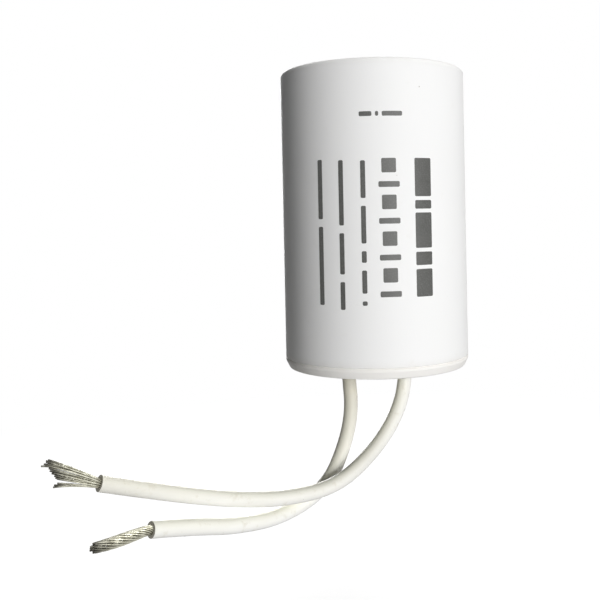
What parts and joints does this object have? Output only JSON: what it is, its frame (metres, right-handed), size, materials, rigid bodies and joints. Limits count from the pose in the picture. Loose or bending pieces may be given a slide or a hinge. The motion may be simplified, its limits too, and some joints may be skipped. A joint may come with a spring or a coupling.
{
  "type": "motor run capacitor",
  "caption": "Cylindrical film capacitor in a moulded can with a flush lid and flexible insulated leads, bare and stranded at their ends.",
  "frame": {"origin": "on the can's axis, at the middle of the straight wall that a band clamp holds", "axes": "+Z along the can's axis towards its closed end, so the leads leave the lid towards -Z; the viewer is at -Y"},
  "size_m": [0.0823, 0.067, 0.098],
  "materials": {
    "case_plastic": "smooth moulded white plastic with a soft gloss",
    "lid_plastic": "smooth moulded plastic, a warmer white than the can",
    "resin": "cast potting resin",
    "metallised_film": "tightly wound metallised film",
    "mandrel_plastic": "plain extruded tube",
    "plain_film": "clear film wrap, yellowed in depth",
    "sprayed_zinc": "rough sprayed metal",
    "solder": "dull bright solder",
    "lead_insulation": "ivory flexible insulation with a soft sheen",
    "tinned_copper": "tinned strands, bright with dark gaps"
  },
  "bodies": {
    "root": {"case": "case_plastic", "end_cap": "lid_plastic", "potting_resin": "resin", "film_winding": "metallised_film", "winding_mandrel": "mandrel_plastic", "winding_wrap": "plain_film", "lower_end_spray": "sprayed_zinc", "upper_end_spray": "sprayed_zinc", "solder_joint_a": "solder", "solder_joint_b": "solder", "lead_a_insulation": "lead_insulation", "lead_a_conductor": "tinned_copper", "lead_b_insulation": "lead_insulation", "lead_b_conductor": "tinned_copper"}
  },
  "joints": []
}
